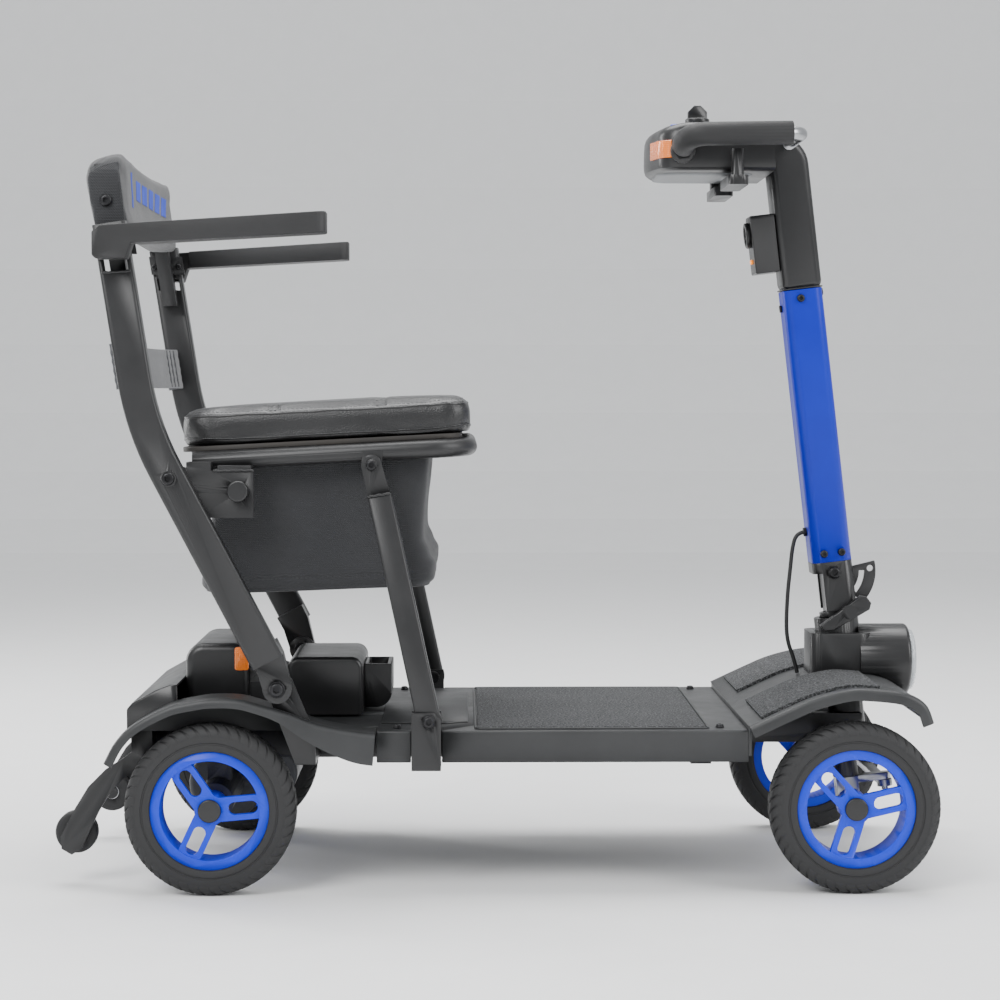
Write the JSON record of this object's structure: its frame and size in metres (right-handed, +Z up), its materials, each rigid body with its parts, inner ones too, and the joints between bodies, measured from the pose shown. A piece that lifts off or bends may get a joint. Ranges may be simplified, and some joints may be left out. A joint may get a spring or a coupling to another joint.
{
  "type": "mobility scooter",
  "caption": "Folding four-wheel mobility scooter with a padded seat, flip-up armrests, a blue steering column and blue rims.",
  "frame": {"origin": "middle of the machine's footprint on the floor, halfway between its rearmost and frontmost points", "axes": "+X forward in the direction of travel, +Y to the rider's left, +Z up"},
  "size_m": [1.048, 0.586, 0.94],
  "materials": {
    "frame_black": "satin powder coat",
    "deck_black": "fine-grained moulding",
    "cover_black": "smooth moulding",
    "mat_rubber": "granular grip surface",
    "orange_lens": "reflective lens",
    "clear_lens": "clear lamp lens",
    "steel": "turned",
    "black_steel": "blackened fasteners",
    "motor_alloy": "painted casting",
    "blue_paint": "gloss blue paint",
    "rim_blue": "satin blue paint",
    "grey_plastic": "light grey moulding",
    "blue_plastic": "gloss blue button",
    "tyre": "solid rubber tread",
    "leather": "grained black vinyl leather",
    "fabric": "woven nylon",
    "webbing": "grey webbing",
    "foam": "soft foam",
    "armrest_black": "grained moulding",
    "board_wood": "plywood",
    "cable_black": "cable jacket"
  },
  "bodies": {
    "chassis": {"chassis_frame": "frame_black", "deck_shell": "deck_black", "front_deck": "deck_black", "deck_mats": "mat_rubber", "rear_cover": "cover_black", "rear_fenders": "deck_black", "tail_pod": "cover_black", "rear_reflectors": "orange_lens", "head_shroud": "cover_black", "headlight": "clear_lens", "head_bearings": "steel", "transaxle": "motor_alloy", "drive_motor": "motor_alloy", "controller_box": "deck_black", "frame_brackets": "frame_black", "chassis_fasteners": "black_steel", "cable_lower": "cable_black"},
    "battery": {"battery_pack": "cover_black"},
    "stem": {"steering_stem": "frame_black", "latch_sector": "frame_black"},
    "tiller": {"column_sleeve": "cover_black", "column_tube": "blue_paint", "column_head": "frame_black", "console_cover": "cover_black", "console_base": "grey_plastic", "handlebar": "foam", "key_box": "cover_black", "tiller_fasteners": "black_steel", "console_reflectors": "orange_lens", "cable_upper": "cable_black"},
    "fold_lever": {"fold_lever": "frame_black"},
    "speed_dial": {"speed_dial": "cover_black"},
    "horn_button": {"horn_button": "blue_plastic"},
    "lever_right": {"drive_lever_right": "cover_black"},
    "lever_left": {"drive_lever_left": "cover_black"},
    "posts": {"rear_posts": "frame_black", "backrest_pad": "fabric", "lumbar_strap": "webbing"},
    "armrest_right": {"armrest_right": "armrest_black"},
    "armrest_left": {"armrest_left": "armrest_black"},
    "seat": {"seat_frame": "frame_black", "seat_board": "board_wood", "seat_cushion": "leather", "storage_bag": "fabric"},
    "plunger_right": {"plunger_right": "cover_black"},
    "plunger_left": {"plunger_left": "cover_black"},
    "legs": {"front_legs": "frame_black"},
    "knuckle_right": {"knuckle_right": "steel"},
    "knuckle_left": {"knuckle_left": "steel"},
    "tie_rod": {"tie_rod": "steel"},
    "wheel_front_right": {"tyre_front_right": "tyre", "rim_front_right": "rim_blue"},
    "wheel_front_left": {"tyre_front_left": "tyre", "rim_front_left": "rim_blue"},
    "wheel_rear_right": {"tyre_rear_right": "tyre", "rim_rear_right": "rim_blue"},
    "wheel_rear_left": {"tyre_rear_left": "tyre", "rim_rear_left": "rim_blue"},
    "anti_tip_wheel_right": {"anti_tip_wheel_right": "mat_rubber"},
    "anti_tip_wheel_left": {"anti_tip_wheel_left": "mat_rubber"}
  },
  "joints": [
    {"name": "seat_fold", "type": "hinge", "parent": "chassis", "child": "posts", "pos_m": [-0.251, 0, 0.242], "axis": [0, 1, 0], "range_deg": [0, 90], "deforming": ["storage_bag", "lumbar_strap"]},
    {"name": "seat_level", "type": "hinge", "parent": "posts", "child": "seat", "pos_m": [-0.371, 0, 0.486], "axis": [0, 1, 0], "range_deg": [-70, 0]},
    {"name": "leg_fold", "type": "hinge", "parent": "chassis", "child": "legs", "pos_m": [-0.076, 0, 0.204], "axis": [0, 1, 0], "range_deg": [0, 85]},
    {"name": "armrest_right_lift", "type": "hinge", "parent": "posts", "child": "armrest_right", "pos_m": [-0.434, 0, 0.754], "axis": [0, -1, 0], "range_deg": [0, 100]},
    {"name": "armrest_left_lift", "type": "hinge", "parent": "posts", "child": "armrest_left", "pos_m": [-0.434, 0, 0.754], "axis": [0, -1, 0], "range_deg": [0, 100]},
    {"name": "plunger_right_pull", "type": "slide", "parent": "seat", "child": "plunger_right", "axis": [0, -1, 0], "range_m": [0, 0.008], "stiffness_N_per_m": 900},
    {"name": "plunger_left_pull", "type": "slide", "parent": "seat", "child": "plunger_left", "axis": [0, 1, 0], "range_m": [0, 0.008], "stiffness_N_per_m": 900},
    {"name": "steer", "type": "hinge", "parent": "chassis", "child": "stem", "pos_m": [0.4518, 0, 0.125], "axis": [-0.1149, 0, 0.9934], "range_deg": [-32, 32], "deforming": ["cable_upper", "cable_lower"]},
    {"name": "tiller_fold", "type": "hinge", "parent": "stem", "child": "tiller", "pos_m": [0.42449, 0, 0.36103], "axis": [0, 1, 0], "range_deg": [-35, 0], "deforming": ["cable_upper"]},
    {"name": "lock_release", "type": "hinge", "parent": "tiller", "child": "fold_lever", "pos_m": [0.442, 0, 0.313], "axis": [0, 1, 0], "range_deg": [0, 25], "stiffness_Nm_per_rad": 0.5},
    {"name": "speed_turn", "type": "hinge", "parent": "tiller", "child": "speed_dial", "pos_m": [0.255, 0, 0.92], "axis": [0, 0, -1], "range_deg": [0, 270]},
    {"name": "horn_press", "type": "slide", "parent": "tiller", "child": "horn_button", "axis": [0, 0, -1], "range_m": [0, 0.003], "stiffness_N_per_m": 600},
    {"name": "lever_right_pull", "type": "hinge", "parent": "tiller", "child": "lever_right", "pos_m": [0.292, -0.046, 0.848], "axis": [0, 0, 1], "range_deg": [0, 15], "stiffness_Nm_per_rad": 0.6},
    {"name": "lever_left_pull", "type": "hinge", "parent": "tiller", "child": "lever_left", "pos_m": [0.292, 0.046, 0.848], "axis": [0, 0, -1], "range_deg": [0, 15], "stiffness_Nm_per_rad": 0.6},
    {"name": "battery_out", "type": "slide", "parent": "chassis", "child": "battery", "axis": [1, 0, 0], "range_m": [0, 0.09]},
    {"name": "knuckle_right_steer", "type": "hinge", "parent": "chassis", "child": "knuckle_right", "pos_m": [0.41622, -0.17, 0.14102], "axis": [-0.1149, 0, 0.9934], "range_deg": [-32, 32]},
    {"name": "knuckle_left_steer", "type": "hinge", "parent": "chassis", "child": "knuckle_left", "pos_m": [0.41622, 0.17, 0.14102], "axis": [-0.1149, 0, 0.9934], "range_deg": [-32, 32]},
    {"name": "tie_rod_turn", "type": "hinge", "parent": "knuckle_right", "child": "tie_rod", "pos_m": [0.46368, -0.17, 0.12235], "axis": [-0.1149, 0, 0.9934], "range_deg": [-32, 32]},
    {"name": "wheel_front_right_spin", "type": "hinge", "parent": "knuckle_right", "child": "wheel_front_right", "pos_m": [0.421, -0.21, 0.1], "axis": [0, 1, 0], "continuous": true},
    {"name": "wheel_rear_right_spin", "type": "hinge", "parent": "chassis", "child": "wheel_rear_right", "pos_m": [-0.33, -0.21, 0.1], "axis": [0, 1, 0], "continuous": true},
    {"name": "anti_tip_right_spin", "type": "hinge", "parent": "chassis", "child": "anti_tip_wheel_right", "pos_m": [-0.496, -0.146, 0.062], "axis": [0, 1, 0], "continuous": true},
    {"name": "wheel_front_left_spin", "type": "hinge", "parent": "knuckle_left", "child": "wheel_front_left", "pos_m": [0.421, 0.21, 0.1], "axis": [0, 1, 0], "continuous": true},
    {"name": "wheel_rear_left_spin", "type": "hinge", "parent": "chassis", "child": "wheel_rear_left", "pos_m": [-0.33, 0.21, 0.1], "axis": [0, 1, 0], "continuous": true},
    {"name": "anti_tip_left_spin", "type": "hinge", "parent": "chassis", "child": "anti_tip_wheel_left", "pos_m": [-0.496, 0.146, 0.062], "axis": [0, 1, 0], "continuous": true}
  ],
  "couplings": [
    {"joint": "seat_level", "follows": "seat_fold", "ratio": -0.777},
    {"joint": "leg_fold", "follows": "seat_fold", "ratio": 0.942},
    {"joint": "knuckle_right_steer", "follows": "steer", "ratio": 1},
    {"joint": "knuckle_left_steer", "follows": "steer", "ratio": 1},
    {"joint": "tie_rod_turn", "follows": "steer", "ratio": -1}
  ]
}
